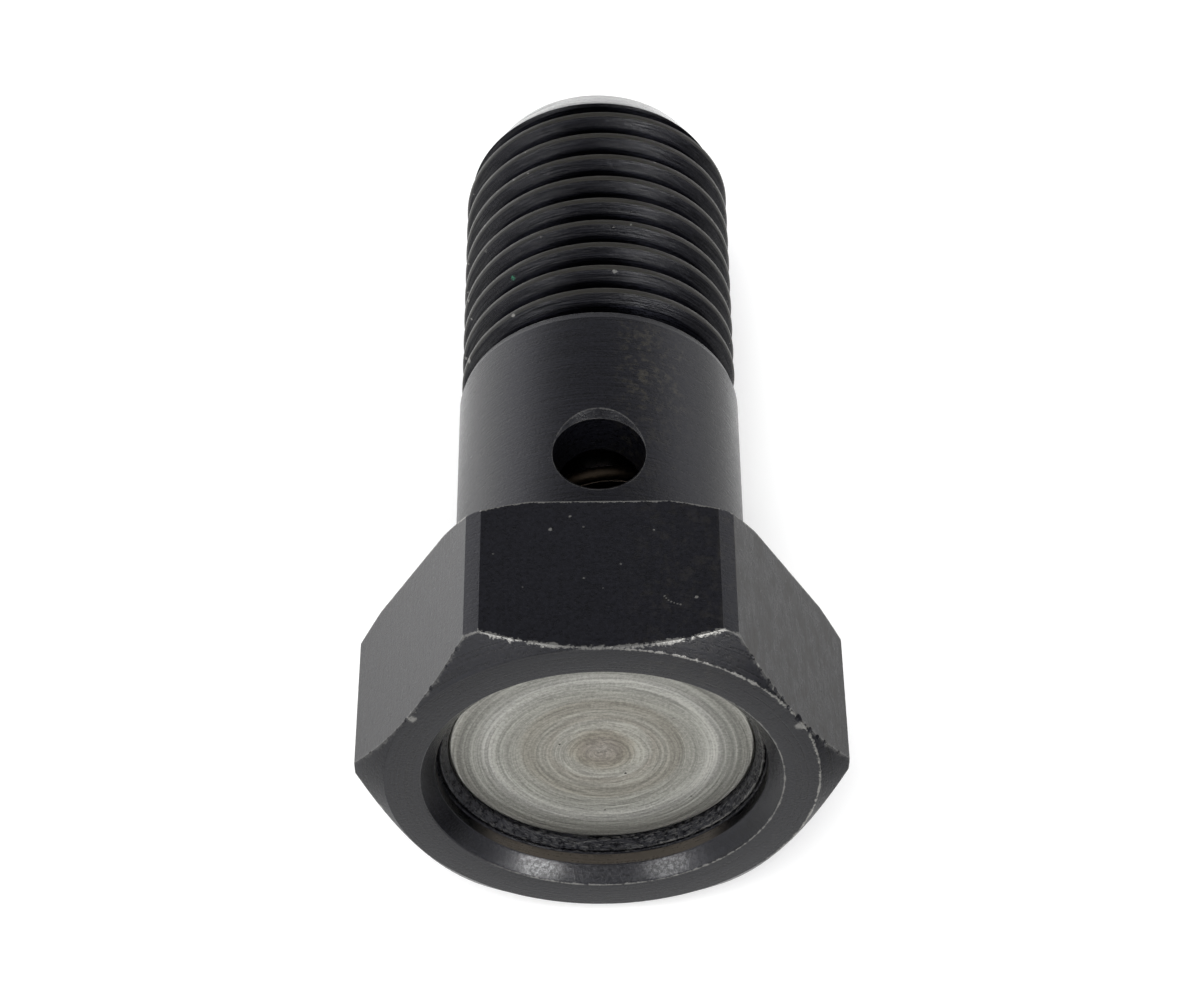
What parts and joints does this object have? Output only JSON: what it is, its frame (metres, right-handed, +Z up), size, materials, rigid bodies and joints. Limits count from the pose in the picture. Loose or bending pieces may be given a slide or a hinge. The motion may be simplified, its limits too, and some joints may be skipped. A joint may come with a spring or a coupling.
{
  "type": "piston cooling jet bolt",
  "caption": "Hollow hex-head bolt that fastens a piston cooling jet and feeds it oil through a cross hole, with a spring-loaded ball check valve inside.",
  "frame": {"origin": "centre of the bounding box in X and Y, on the surface the bolt lies on (Z = 0)", "axes": "+Y from the head towards the thread end, tipped down by about 5.9 degrees as the bolt lies; +X across two corners of the hexagon; +Z up, out of the uppermost flat of the head"},
  "size_m": [0.018, 0.0332, 0.0165],
  "materials": {
    "black_steel": "black oxide on turned steel, lightly oiled, with bright nicked edges",
    "bare_steel": "bare faced steel with fine concentric turning rings",
    "spring_wire": "drawn spring wire with a brown temper tint",
    "ball_steel": "polished bearing ball"
  },
  "bodies": {
    "bolt": {"bolt_body": "black_steel", "head_plug": "bare_steel", "valve_spring": "spring_wire"},
    "ball": {"valve_ball": "ball_steel"}
  },
  "joints": [
    {"name": "valve_lift", "type": "slide", "parent": "bolt", "child": "ball", "axis": [0, -0.9946, 0.1034], "range_m": [0, 0.002], "stiffness_N_per_m": 1930, "springref_m": -0.00166, "deforming": ["valve_spring"]}
  ]
}
